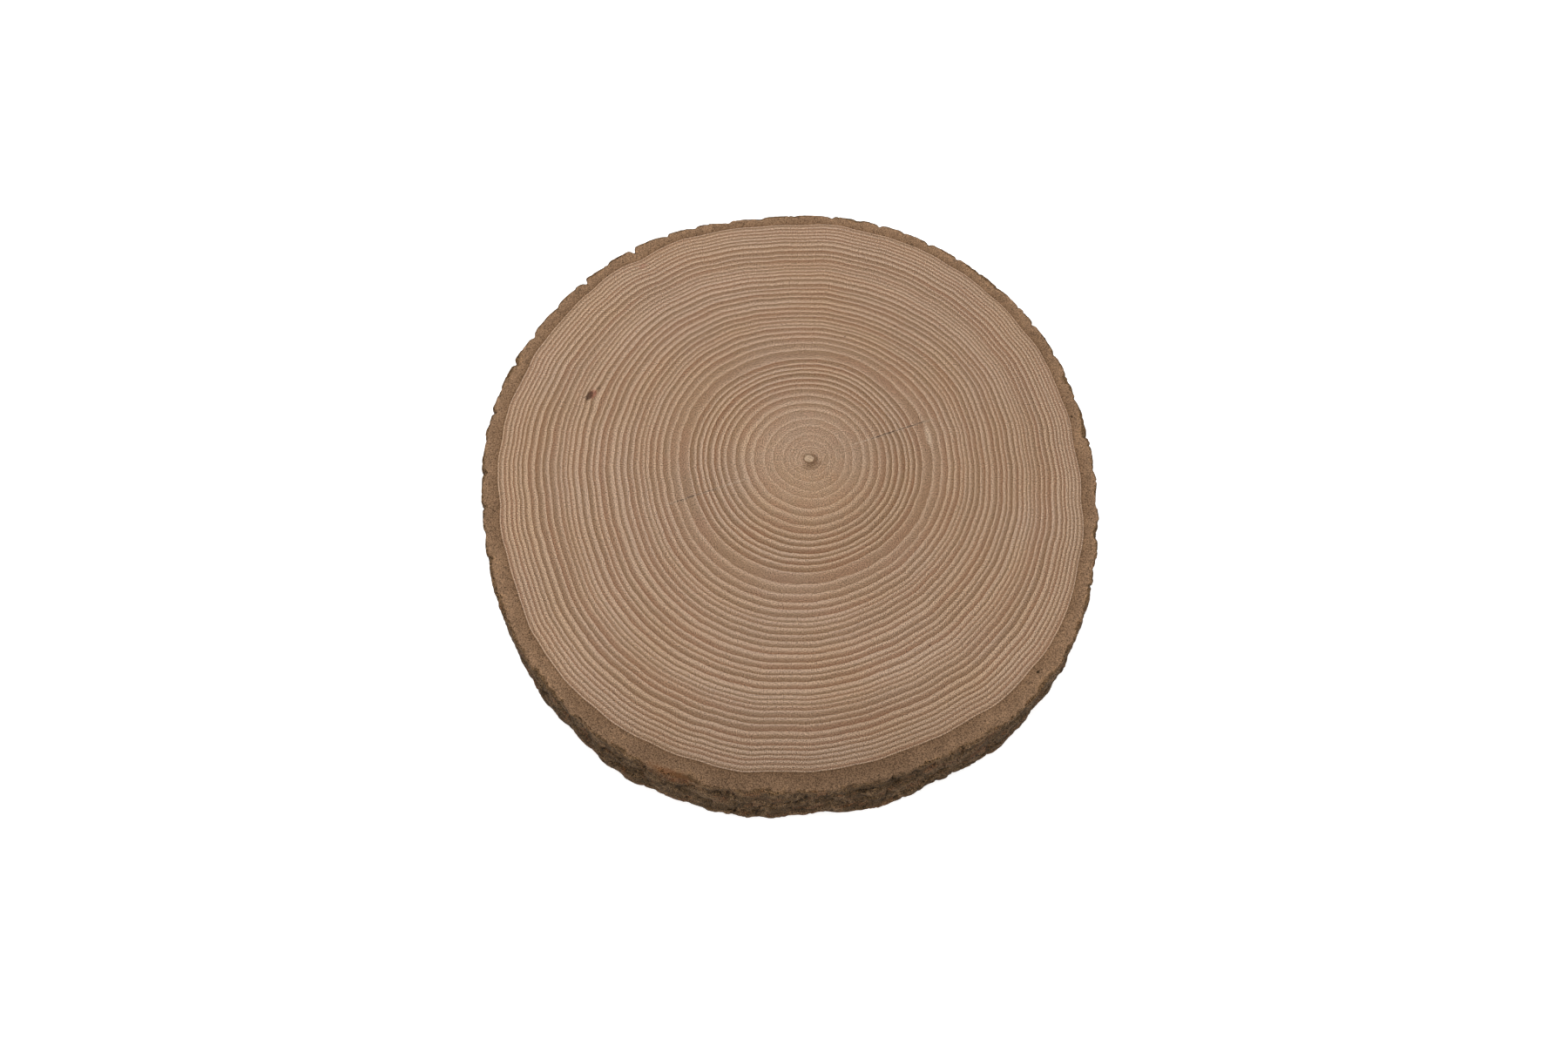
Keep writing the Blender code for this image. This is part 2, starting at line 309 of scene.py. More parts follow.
wood = {
    "pithZone": 4.6,  # mm from the middle to the first year
    "years": (  # so many years of so many mm each, and the share of each that is pale, from the pith out
        (1, 1.8, 0.25), (2, 3.2, 0.2), (1, 4.9, 0.16), (1, 4.0, 0.2), (1, 5.2, 0.16), (1, 4.0, 0.38),
        (1, 4.5, 0.42), (1, 4.1, 0.35), (2, 3.0, 0.36), (1, 3.5, 0.32), (1, 2.3, 0.45), (1, 2.9, 0.4),
        (1, 3.3, 0.28), (1, 5.5, 0.14), (1, 4.3, 0.24), (1, 3.7, 0.26), (1, 3.3, 0.42), (1, 3.3, 0.36),
        (1, 2.1, 0.56), (1, 2.4, 0.42), (1, 3.0, 0.36), (1, 3.0, 0.3), (1, 3.0, 0.4), (1, 3.1, 0.5),
        (1, 3.8, 0.42), (1, 3.1, 0.32), (1, 2.7, 0.52), (1, 3.0, 0.28), (1, 3.3, 0.46), (1, 2.8, 0.56),
        (1, 2.2, 0.6), (1, 2.2, 0.46), (1, 2.2, 0.38), (1, 3.2, 0.3), (1, 2.8, 0.34), (1, 3.2, 0.26),
        (1, 3.2, 0.42), (1, 2.9, 0.52), (1, 2.1, 0.44), (1, 2.1, 0.54), (2, 2.1, 0.48), (1, 2.2, 0.45),
        (1, 0.6, 0.9),
    ),
    "columns": 480,
    "reliefInYear": (-0.02, -0.05, 0.0),  # mm where the year starts, where its pale part ends, and after
    "unevenness": 0.05 * mm,
    "leastDrop": 0.01 * mm,  # keeps the wood under the plane of the cut
    "crack": (19.5, 33 * mm, 63.5 * mm, 0.06 * mm),  # bearing, from, to, depth
    "oldCrack": (199.5, 45 * mm, 72 * mm, 0.06 * mm),
    "crackHalfWidth": 0.2,  # degrees
    "pithDip": 0.45 * mm,
    "pithDipWidth": 2.6 * mm,
    "knot": (162.5, 115.4 * mm, 2.4 * mm, 0.5 * mm),  # bearing, radius, half width, depth
    "knotBow": 0.45,  # how far the rings bow out round the knot, in years
}


# The mean radii where each year begins, where its pale part ends and half way on from there, and after the
# last the wood's own: widths added up from the pith
def yearRadii():
    widths = np.concatenate([[width] * count for count, width, _ in wood["years"]])
    shares = np.concatenate([[share] * count for count, _, share in wood["years"]])
    starts = np.concatenate([[0], np.cumsum(widths)])
    starts = wood["pithZone"] * mm + starts / starts[-1] * (trunk["woodRadius"] - wood["pithZone"] * mm)
    width, begins = np.diff(starts), starts[:-1]
    rows = np.stack([begins, begins + shares * width, begins + (1 + shares) / 2 * width], axis=-1)
    return np.append(rows.ravel(), starts[-1])


# The ringed wood: each ring's radius at each bearing, on the upper face from the pith out, down a plain
# wall and back to the pith on the lower face. A point keeps its year, as a number, for the finish.
def makeWood():
    # Rows of the mesh by their years: three in each year, and three on the way down to -1 at the middle
    radii = yearRadii()
    last = len(radii) // 3
    inner = np.array([0.2, 0.45, 0.7])
    years = (np.arange(last)[:, None] + np.array([0, 0.5, 0.75])).ravel()
    topYears = np.concatenate([inner - 1, years, [last]])
    footYears = np.concatenate([[last], np.arange(last - 1, -1, -1.0), inner[::-1] - 1])
    allYears = np.concatenate([topYears, [last, last], footYears])
    means = np.interp(allYears, [-1, *years, last], [0, *radii])
    isTop = np.arange(len(allYears)) < len(topYears)
    isWall = np.isin(np.arange(len(allYears)), len(topYears) + np.array([0, 1]))

    cracks = (wood["crack"], wood["oldCrack"])
    extra = [crack[0] + side * wood["crackHalfWidth"] for crack in cracks for side in (-1, 1)]
    even = np.arange(wood["columns"]) * 360 / wood["columns"]
    bearing = np.sort(np.concatenate([even, extra]))[None, :]
    mean = means[:, None]
    radius = grownRadius(mean, bearing)
    columns = bearing.shape[1]

    # The sawn face wears with the years, and dips at the pith, the cracks and the knot
    relief = np.zeros(len(allYears))
    relief[3:3 + len(years)] = np.tile(wood["reliefInYear"], last) * mm
    uneven = layeredNoise(bearing / 360, mean / 0.16, 24, 6, 3, 5) - 1
    drop = relief[:, None] + wood["unevenness"] * uneven
    drop = drop - wood["pithDip"] * np.exp(-(radius / wood["pithDipWidth"]) ** 2)
    for place, begins, ends, depth in cracks:
        # A groove of one column, which the extra columns beside it keep narrow
        fadeIn = ease(radius, begins - 4 * mm, begins + 3 * mm)
        fadeOut = 1 - ease(radius, ends - 4 * mm, ends + 1 * mm)
        drop = drop - depth * fadeIn * fadeOut * (abs(bearing - place) < 0.01)
    place, knotRadius, knotWidth, knotDepth = wood["knot"]
    knotX, knotY = knotRadius * cosine(place), knotRadius * cosine(place - 90)
    fromKnot = np.hypot(radius * cosine(bearing) - knotX, radius * cosine(bearing - 90) - knotY)
    drop = drop - knotDepth * np.exp(-(fromKnot / knotWidth) ** 2)
    drop = np.minimum(drop, -wood["leastDrop"])

    wallHeights = np.zeros(len(allYears))
    wallHeights[len(topYears):len(topYears) + 2] = (0.9 * thickness, 0.1 * thickness)
    height = np.where(isTop[:, None], thickness + drop, wallHeights[:, None])
    points = placePoints(bearing, radius, height).reshape(-1, 3)
    topCentre = placePoints(np.zeros(1), np.zeros(1), thickness - wood["pithDip"])
    footCentre = placePoints(np.zeros(1), np.zeros(1), 0.0)
    points = np.concatenate([points, topCentre, footCentre])

    # Rings bow out a little round the knot
    bow = -wood["knotBow"] * np.exp(-(fromKnot / (2.6 * knotWidth)) ** 2)
    yearValues = allYears[:, None] + bow
    yearValues = np.concatenate([yearValues.ravel(), [-1, -1]])

    cornerRows, cornerColumns = gridCorners(len(allYears) - 1, columns)
    quads = cornerRows * columns + cornerColumns % columns
    here = np.arange(columns)
    after = (here + 1) % columns
    lastRow = (len(allYears) - 1) * columns
    topFan = np.stack([np.full(columns, len(points) - 2), here, after], axis=-1)
    footFan = np.stack([np.full(columns, len(points) - 1), lastRow + after, lastRow + here], axis=-1)
    triangles = np.concatenate([topFan, footFan])

    # Seen from above the two faces share one map, and the wall is a thin ring outside them
    spread = np.ones(len(allYears))
    spread[isWall] = 1.02
    spread = np.append(np.repeat(spread, columns), [1, 1])
    middle = (points.min(axis=0) + points.max(axis=0))[:2] / 2
    reach = abs(points[:, :2] - middle).max() * 1.03
    mapPlaces = 0.5 + (points[:, :2] - middle) * spread[:, None] / reach / 2
    corners = np.concatenate([quads.ravel(), triangles.ravel()])
    piece = makePiece("ringed_wood", points, quads, triangles, {"year": yearValues}, mapPlaces[corners], 40)
    print("wood:", last, "years,", 2 * len(quads) + len(triangles), "triangles")
    return piece


# A finer grid through a coarse one by Catmull-Rom curves down the first axis. Where the axis closes round,
# turn is added to the values at each full turn.
def refine(net, steps, closes, turn=0.0):
    if closes:
        net = np.concatenate([net[-1:] - turn, net, net[:2] + turn])
    else:
        net = np.concatenate([2 * net[:1] - net[1:2], net, 2 * net[-1:] - net[-2:-1]])
    span = np.repeat(np.arange(len(steps)), steps)
    t = np.concatenate([np.arange(count) / count for count in steps])[:, None]
    if not closes:
        span, t = np.append(span, len(steps) - 1), np.concatenate([t, [[1.0]]])
    before, start, end, beyond = net[span], net[span + 1], net[span + 2], net[span + 3]
    square = 2 * before - 5 * start + 4 * end - beyond
    cube = 3 * (start - end) + beyond - before
    return start + 0.5 * t * (end - before + t * (square + t * cube))


# Averages each row with its neighbours out to so many columns on both sides
def soften(rows, reach):
    return sum(np.roll(rows, shift, axis=1) for shift in range(-reach, reach + 1)) / (2 * reach + 1)


# How far a bearing belongs to the side with the stepped edge: an eased cosine, 1 there and 0 away from it
def sawShare(bearing):
    return ease(cosine(bearing - bark["sawSide"]), 0.3, 0.8)


# How far a bearing belongs to the back, where the edge is smoother: an eased cosine again
def backShare(bearing):
    return ease(cosine(bearing - bark["backSide"]), -0.5, 0.1)


# The plates of bark between their furrows, as a coarse net of bearings, heights and how far each point
# stands out. Every plate has its lean, two cracks across it, three blocks and a chipped foot drawn by lot.
def barkNet():
    lot = random.Random(bark["frameSeed"])
    # A plate's draws in turn: its lean, its cracks' heights and depths, its lower blocks, its foot's chip
    draws = np.array([[lot.random() for _ in range(8)] for _ in bark["furrows"]])
    either = 2 * draws - 1
    start, furrow = np.array(bark["furrows"]).T
    furrow = furrow * mm
    span = np.append(start[1:], start[0] + 360) - start
    lean = either[:, 0] * bark["furrowLean"]
    plateWidth = np.radians(span) * barkRadius(start + span / 2)
    crown = np.minimum(bark["crownLimit"], bark["crownPerWidth"] * plateWidth)
    crown = crown * (1 - bark["backFlat"] * backShare(start))
    low, high = (thickness * (np.array(bark["crackHeights"]) + either[:, 1:3] * bark["crackScatter"])).T
    shallow, deep = bark["crackDepths"]
    lowDepth, highDepth = (shallow + draws[:, 3:5] * (deep - shallow)).T
    lowBlock, middleBlock = (either[:, 5:7] * bark["blockScatter"]).T
    gap = bark["crackHalfHeight"]
    none = 0 * low
    heights = np.stack([
        none, low / 2, low - gap, low, low + gap, high - gap, high, high + gap, none + thickness,
    ])
    stands = np.stack([
        lowBlock - draws[:, 7] * bark["footChip"],
        lowBlock,
        lowBlock,
        np.minimum(lowBlock, middleBlock) - lowDepth,
        middleBlock,
        middleBlock,
        np.minimum(middleBlock, 0) - highDepth,
        none,
        none,
    ])
    teeth = bark["sawtooth"] * sawShare(start) * (0.4 + draws[:, 7])
    columns = []
    for place in bark["platePoints"]:
        height = heights
        stand = stands + teeth * (2 * place - 1)
        if place == 0:
            height = (heights + np.roll(heights, 1, axis=1)) / 2
            stand = -furrow - bark["furrowDeepening"] * (1 - height / thickness)
        leanHere = lean + place * (np.roll(lean, -1) - lean)
        bearing = start + place * span + leanHere * (1 - height / thickness)
        columns.append((bearing, height, stand + crown * 4 * place * (1 - place)))
    # Axes in turn: bearing, height or stand, then level, plate, point
    net = np.array(columns).transpose(1, 2, 3, 0).reshape(3, len(heights), -1)
    return net.transpose(0, 2, 1)


# The ring of bark: the net of plates made fine and carried round the trunk, with scales, fissures and chips
# on it, closed by the sawn rim above, the foot below and a wall tucked in under the wood
def makeBark():
    net = barkNet()
    columnSteps = np.tile(bark["plateSteps"], len(bark["furrows"]))
    finished = []
    for values, turn in zip(net, (360, 0, 0)):
        values = refine(values, columnSteps, closes=True, turn=turn)
        finished.append(refine(values.T, bark["levelSteps"], closes=False)[::-1])
    bearing, height, stand = finished  # rows from the sawn face down, by columns
    height = np.clip(height, 0, thickness)
    around, up = bearing / 360, height / thickness
    seed = bark["seed"]

    # The furrows are spread wide where the bark is soft, and stay sharp elsewhere
    softShare = ease(cosine(bearing - bark["softSide"]), 0.0, 0.7)
    sharp, gentle = (soften(stand, reach) for reach in bark["softReach"])
    stand = sharp * (1 - softShare) + gentle * softShare

    # Fissures and scales: cracks between them, each lifted by its own amount, and ruggedness over all
    sideways, upright = bark["warp"]
    warpAround = sideways * layeredNoise(around, up, 60, 3, 2, seed)
    warpUp = upright * layeredNoise(around, up, 40, 2, 2, seed + 5)
    border, tone = scaleCells(around + warpAround, up + warpUp, *bark["scales"], seed + 10)
    fissure = layeredNoise(around + warpAround, up, *bark["fissures"], 3, seed + 15)
    fissure = np.exp(-(fissure / bark["fissureWidth"]) ** 2)
    crack = 1 - ease(border, 0.0, bark["scaleBorder"])
    rugged = layeredNoise(around, up, 150, 7, 2, seed + 50)
    grain = layeredNoise(around, up, 420, 18, 2, seed + 20)
    detail = bark["scaleLift"] * (tone - 1) - bark["scaleCrack"] * crack - bark["fissureDepth"] * fissure
    detail = detail + bark["rugged"] * (rugged - 0.3) + bark["grain"] * (grain - 0.5)
    detail = np.minimum(detail, 0.4 * detail) + bark["proud"]

    # The sawn edge is chipped in places, and the surface is calmer there and at the foot
    chips = ease(layeredNoise(around, 0 * up, 130, 1, 3, seed + 30), 0.1, 1.0)
    fromFace = thickness - height
    detail = detail - bark["edgeChip"] * chips * np.exp(-fromFace / bark["edgeChipReach"])
    calm, calmer = bark["edgeCalm"]
    calm = calm + calmer * backShare(bearing)
    detail = detail * (1 - calm * np.exp(-fromFace / bark["edgeCalmReach"]))
    detail = detail * (1 - bark["footCalm"] * np.exp(-height / bark["footCalmReach"]))
    cells, swing = bark["footLobes"]
    lobes = swing * softNoise(around, 0 * up, cells, 1, seed + 60) * (1 - up) ** 0.7
    outer = barkRadius(bearing) + stand + detail + lobes

    # How deep a place lies in a furrow and in a pit, for the painted shade in the hollows
    hollow = np.clip(-stand / (2.5 * mm), 0, 1) * 0.4 + np.clip(-detail / (1.3 * mm), 0, 1) * 0.8

    # The sawn rim runs in from the edge to under the wood, and so does the foot
    cambium = grownRadius(trunk["woodRadius"], bearing)
    faceShare = np.linspace(0, 1, bark["faceRows"])[:, None]
    footShare = np.linspace(0, 1, bark["footRows"])[1:, None]
    edge, foot = outer[:1], outer[-1:]
    faceStart, faceEnd = cambium[:1] + 0.1 * mm, edge - bark["lip"]
    faceRadius = faceStart + (faceEnd - faceStart) * faceShare
    faceNoise = layeredNoise(around[:1] + 0 * faceShare, faceShare + 0 * around[:1], 260, 4, 2, seed + 40)
    byGrain, byChips = bark["faceDrops"]
    faceDrop = byGrain * (1 - faceNoise) + byChips * chips[:1] * faceShare ** 4
    faceHeight = thickness - np.clip(faceDrop, 0.02 * mm, None)
    footRadius = foot + (cambium[-1:] + 0.1 * mm - foot) * footShare
    height[0] = thickness - bark["lip"] - bark["chipDrop"] * chips[0]
    height[-1] = bark["footRise"]
    inner = np.array([0.0, 0.5, 1.0])[:, None]
    innerRadius = cambium[-1:] * (1 - inner) + cambium[:1] * inner - bark["tuck"]
    innerHeight = 0.02 * mm + inner * (thickness - 0.25 * mm)

    rowsBearing = [bearing[-1:] * (1 - inner) + bearing[:1] * inner, bearing[:1] + 0 * faceShare, bearing]
    rowsBearing.append(bearing[-1:] + 0 * footShare)
    rowsRadius = [innerRadius, faceRadius, outer, footRadius]
    rowsHeight = [innerHeight + 0 * cambium[:1], faceHeight, height, 0 * footRadius]
    allBearing, radius, allHeight = map(np.concatenate, (rowsBearing, rowsRadius, rowsHeight))

    # How far out a place is: 0 at the wood, 1 at the sawn edge, and more down the side
    down = 1 + np.minimum(fromFace, height) / (10 * mm)
    outward = np.concatenate([0 * innerRadius, faceShare + 0 * edge, down, 1 - footShare + 0 * foot])
    flat = 0 * faceRadius
    allHollow = np.concatenate([0 * innerRadius, flat, hollow, 0 * footRadius])
    allTone = np.concatenate([0 * innerRadius + 0.5, flat + 0.5, tone, 0 * footRadius + 0.5])

    rows, columns = radius.shape
    points = placePoints(allBearing, radius, allHeight).reshape(-1, 3)
    cornerRows, cornerColumns = gridCorners(rows, columns)
    quads = (cornerRows % rows) * columns + cornerColumns % columns

    # The map is the ring cut into strips, one above the other, each as high as its profile is long
    strips, margin = bark["mapStrips"], bark["mapMargin"]
    lengths = np.hypot(np.diff(radius, axis=0), np.diff(allHeight, axis=0)).mean(axis=1)
    lengths[:3] = 0.4 * mm
    across = np.concatenate([[0], np.cumsum(lengths), [lengths.sum() + 0.4 * mm]])
    across = across / across[-1]
    perStrip = columns // strips
    strip = cornerColumns[:, :1] // perStrip
    mapX = margin + (1 - 2 * margin) * (cornerColumns - strip * perStrip) / perStrip
    mapY = (strip + 4 * margin + (1 - 8 * margin) * across[cornerRows]) / strips
    mapPlaces = np.stack([mapX, mapY], axis=-1)
    values = {"outward": outward, "hollow": allHollow, "scale": allTone}
    noTriangles = np.zeros((0, 3), int)
    piece = makePiece("rough_bark", points, quads, noTriangles, values, mapPlaces, 55)
    print("bark:", rows, "rows by", columns, "columns,", 2 * len(quads), "triangles")
    return piece


# One output of a material's nodes. Arithmetic on it adds Math nodes, and node() adds any other.
class Wire:
    def __init__(self, tree, socket=None):
        self.tree = tree
        self.socket = socket

    # Adds a node: its settings first, then the value or link of each input by name or number
    def node(self, kind, settings=None, inputs=None, output=0):
        made = self.tree.nodes.new(kind)
        for name, value in (settings or {}).items():
            if name == "stops":
                setStops(made.color_ramp, value)
            else:
                setattr(made, name, value)
        for name, value in (inputs or {}).items():
            if isinstance(value, Wire):
                self.tree.links.new(value.socket, made.inputs[name])
            else:
                made.inputs[name].default_value = value
        return Wire(self.tree, made.outputs[output])

    # A Math node on the given wires and numbers
    def math(self, operation, *values):
        return self.node("ShaderNodeMath", {"operation": operation}, dict(enumerate(values)))

    def __add__(self, other):
        return self.math("ADD", self, other)

    def __sub__(self, other):
        return self.math("SUBTRACT", self, other)

    def __rsub__(self, other):
        return self.math("SUBTRACT", other, self)

    def __mul__(self, other):
        return self.math("MULTIPLY", self, other)

    def __truediv__(self, other):
        return self.math("DIVIDE", self, other)

    def __pow__(self, other):
        return self.math("POWER", self, other)

    __radd__ = __add__
    __rmul__ = __mul__

    # An eased step from 0 at low to 1 at high, or from 1 to 0 where high is the smaller
    def step(self, low, high):
        bounds = {"Value": self, "From Min": low, "From Max": high}
        return self.node("ShaderNodeMapRange", {"interpolation_type": "SMOOTHSTEP"}, bounds)

    # The level along a ramp of (place, level) stops
    def ramp(self, stops):
        return self.node("ShaderNodeValToRGB", {"stops": stops}, {"Fac": self})

    # From the first colour to the second as this goes from 0 to 1
    def blend(self, first, second):
        settings = {"data_type": "RGBA", "blend_type": "MIX"}
        return self.node("ShaderNodeMix", settings, {0: self, 6: first, 7: second}, output=2)

    # Noise at this position with spots of about the given size
    def noise(self, size, detail=2.0, roughness=0.5, output=0):
        inputs = {"Vector": self, "Scale": 1 / size, "Detail": detail, "Roughness": roughness}
        return self.node("ShaderNodeTexNoise", None, inputs, output)

    # One of this position's three numbers
    def axis(self, name):
        return self.node("ShaderNodeSeparateXYZ", None, {"Vector": self}, output=name)

    # This number on all three axes
    def grey(self):
        return self.node("ShaderNodeCombineXYZ", None, {"X": self, "Y": self, "Z": self})

    # This position as seen from a place, turned by an angle and measured in units of the given size
    def seenFrom(self, place, angle, size):
        inputs = {"Vector": self, "Location": place, "Rotation": (0, 0, math.radians(angle)), "Scale": size}
        return self.node("ShaderNodeMapping", {"vector_type": "TEXTURE"}, inputs)

    # A position or colour times another, number by number
    def times(self, factors):
        return self.node("ShaderNodeVectorMath", {"operation": "MULTIPLY"}, {0: self, 1: factors})

    # How far this position is from the origin
    def length(self):
        return self.node("ShaderNodeVectorMath", {"operation": "LENGTH"}, {0: self}, output="Value")

    # A spot: the distance from its place in units of its size, plus a wobble, stepped from clear to full
    def spot(self, place, angle, size, wobble, clear, full):
        distance = self.seenFrom((*place, 0), angle, (*size, 1)).length()
        return (distance + wobble).step(clear, full)


# Puts grey stops into a new ramp, in place of the two it comes with
def setStops(ramp, stops):
    ramp.elements.remove(ramp.elements[1])
    for number, (place, level) in enumerate(stops):
        element = ramp.elements[0] if number == 0 else ramp.elements.new(place)
        element.position = place
        element.color = (level, level, level, 1)


# A new material on a piece, with its shader node and the place to start its nodes from
def startMaterial(name, piece, specular):
    material = bpy.data.materials.new(name)
    material.use_nodes = True
    piece.data.materials.append(material)
    shader = material.node_tree.nodes["Principled BSDF"]
    shader.inputs["Specular IOR Level"].default_value = specular
    return Wire(material.node_tree), shader


# The number that a piece keeps at each point under a name
def attribute(wire, name):
    return wire.node("ShaderNodeAttribute", {"attribute_name": name}, output="Fac")


# Links a wire to one of the shader's inputs
def connect(wire, socket):
    wire.tree.links.new(wire.socket, socket)


# A position's x and y from the pith, with its height left out
def fromPith(position):
    return position.seenFrom((*trunk["pith"], 0), 0, (1, 1, 1)).times((1, 1, 0))


# Painted shade: a piece's level towards its near edge, 1 less the share times an eased step
def paintedNearShade(flat, share):
    return 1 - flat.axis("Y").step(-95 * mm, -190 * mm) * share


woodFinish = {
    "pale": surface(184, 154, 127),  # the early wood of a year
    "dark": surface(121, 88, 60),  # its late wood
    "red": surface(128, 89, 62),
    "olive": surface(122, 90, 60),
    "pith": surface(188, 161, 133),
    "pithEdge": surface(104, 75, 50),
    "dust": surface(196, 172, 146),  # what fills the cracks
    "knot": surface(66, 40, 22),
    # The dark of an open crack: painted shade
    "gap": surface(72, 50, 34),
    "knotStreak": surface(150, 92, 74),
    "specular": 0.15,
    # Through a year, as stops of (place, level): its pale line, and its brown part
    "paleInYear": (
        (0.0, 0.8), (0.05, 1.0), (0.36, 0.96), (0.50, 0.5),
        (0.60, 0.1), (0.70, 0.0), (0.97, 0.0), (1.0, 0.6),
    ),
    "brownInYear": ((0.5, 0.0), (0.84, 0.55), (0.93, 1.0), (1.0, 1.0)),
    # From the pith to the bark: how strongly the rings stand out, and how pale the wood is between them
    "ringStrength": (
        (0.0, 0.32), (0.10, 0.46), (0.13, 0.58), (0.15, 0.70), (0.19, 0.70), (0.22, 1.0), (0.31, 1.0),
        (0.34, 0.66), (0.37, 0.62), (0.39, 0.82), (0.44, 0.84), (0.46, 0.7), (0.49, 0.82), (0.70, 0.92),
        (0.73, 0.76), (0.77, 0.76), (0.80, 0.92), (0.91, 0.93), (0.96, 0.80), (1.0, 0.72),
    ),
    "ringLevel": (
        (0.0, 0.72), (0.12, 0.67), (0.16, 0.54), (0.33, 0.50), (0.35, 0.58), (0.42, 0.52), (1.0, 0.52),
    ),
    "cracks": (("crack", 0.6, 1.3), ("oldCrack", 0.5, 1.2)),  # how strong the dust and the gap's painted shade are
    "dusk": (330, 30 * mm, 38 * mm),  # bearing, distance and reach of a warmer, darker patch
    # Bearing, mm out and mm wide
    "specks": ((300, 112.6, 0.5), (75, 70.4, 0.45), (59.5, 86, 0.45), (66, 53, 0.4)),
    "paintedNearShade": 0.24,  # how much painted shade darkens the wood towards the near edge
    "gain": 0.045,  # how much brighter the whole face is
    "sidePale": 0.03,  # how much paler the wood is towards the left, the -X side
}


# Where a bearing and a distance from the pith lie, as x and y from the pith
def offset(bearing, distance):
    return distance * math.cos(math.radians(bearing)), distance * math.sin(math.radians(bearing))


# The sanded wood: every year's tone from its phase and its lot, and over it pith, cracks, knot and grain
def paintWood(piece):
    start, shader = startMaterial("sanded_end_grain", piece, woodFinish["specular"])
    position = start.node("ShaderNodeTexCoord", output="Object")
    flat = fromPith(position)
    last = sum(count for count, _, _ in wood["years"])
    direction = flat.node("ShaderNodeVectorMath", {"operation": "NORMALIZE"}, {0: flat})

    # The year, made ragged by the pores that the saw cuts through
    ragged = (flat.noise(0.6 * mm, 1) - 0.5) * 0.10 + (flat.noise(6 * mm, 1) - 0.5) * 0.2
    year = attribute(start, "year") + ragged
    year = year.math("MINIMUM", year, last - 0.02)
    number = year.math("FLOOR", year)
    phase = year - number

    # Each year has its own lot of width, tone and hue, which also wanders slowly round the trunk
    apart = number.node("ShaderNodeCombineXYZ", None, {"Z": number * 3.7})
    turned = direction.times((2.4, 2.4, 0))
    turned = turned.node("ShaderNodeVectorMath", {"operation": "ADD"}, {0: turned, 1: apart})
    lots = turned.noise(1, 2, output="Color")
    lotWidth, lotTone, lotHue = (
        lots.node("ShaderNodeSeparateColor", None, {"Color": lots}, output=channel) for channel in range(3)
    )

    # Each year starts with a crisp pale line, which the mesh puts at phases 0 to 0.5. Then comes a brown
    # part of its own depth, and a thin dark line closes it.
    phase = phase ** (0.7 + 0.6 * lotWidth)
    age = year / last
    pale = phase.ramp(woodFinish["paleInYear"])
    brown = phase.ramp(woodFinish["brownInYear"]) ** (1 + 3 * age.step(0.20, 0.10))
    strength = age.ramp(woodFinish["ringStrength"])
    level = age.ramp(woodFinish["ringLevel"])
    depth = 0.5 + 0.9 * lotTone
    ring = pale * 0.52 - (1 - pale) * (0.20 + 0.30 * brown) * depth
    tone = level + ring * strength + (lotTone - 0.5) * 0.25
    dark = lotHue.step(0.25, 0.50).blend(woodFinish["olive"], woodFinish["red"])
    dark = lotWidth.step(0.40, 0.60).blend(dark, woodFinish["dark"])
    colour = tone.math("MAXIMUM", tone, 0).blend(dark, woodFinish["pale"])

    # Pith: faint broken rings, a brown smudge beside it, and a pale spot with a dark edge
    wobble = (flat.noise(1.5 * mm, 2) - 0.5) * 0.9
    out = flat.length() / mm + (flat.noise(7 * mm, 2) - 0.5) * 2.2
    waves = out * 4.4
    rings = waves.math("SINE", waves) * out.step(2.6, 4) * out.step(21, 12)
    fine = rings.step(0.55, 1.0) * flat.noise(5 * mm, 2).step(0.42, 0.60)
    colour = (fine * 0.30).blend(colour, woodFinish["pithEdge"])
    smudge = flat.spot((1.2 * mm, -3.4 * mm), 25, (5.6 * mm, 3.2 * mm), wobble, 1.3, 0.2)
    colour = (smudge * 0.6).blend(colour, woodFinish["pithEdge"])
    edge = flat.spot((0.2 * mm, -0.1 * mm), -8, (3.1 * mm, 2.3 * mm), wobble, 1.35, 1.0)
    colour = (edge * 0.7).blend(colour, woodFinish["pithEdge"])
    middle = flat.spot((-0.2 * mm, 0.2 * mm), -8, (2.6 * mm, 1.9 * mm), wobble, 1.05, 0.80)
    colour = middle.blend(colour, woodFinish["pith"])

    # The cracks: a thin, broken line of pale dust, and in it a dark gap of painted shade, weaker in the
    # pale lines
    for name, dust, gap in woodFinish["cracks"]:
        bearing, begins, ends, _ = wood[name]
        seen = flat.seenFrom((0, 0, 0), bearing, (1, 1, 1))
        along = seen.axis("X")
        across = seen.axis("Y") + (flat.noise(3 * mm, 1) - 0.5) * 0.5 * mm
        across = across.math("ABSOLUTE", across)
        broken = flat.noise(1.6 * mm, 1).step(0.42, 0.56)
        reach = along.step(begins - 17 * mm, begins - 5 * mm) * along.step(ends + 4 * mm, ends - 2 * mm)
        dusty = across.step(0.65 * mm, 0.25 * mm) * reach * (0.4 + 0.6 * broken) * dust
        colour = dusty.blend(colour, woodFinish["dust"])
        reach = along.step(begins - 3 * mm, begins + 3 * mm) * along.step(ends + 1 * mm, ends - 4 * mm)
        gap = gap * (1 - 0.5 * pale) * (0.35 + broken)
        # Painted shade in the open gap of the crack
        gapShade = across.step(0.36 * mm, 0.16 * mm) * reach * gap
        colour = gapShade.blend(colour, woodFinish["gap"])
    patch = flat.spot(offset(12, 60 * mm), 12, (1.5 * mm, 6 * mm), wobble, 1.3, 0.5)
    colour = (patch * 0.5).blend(colour, woodFinish["dust"])

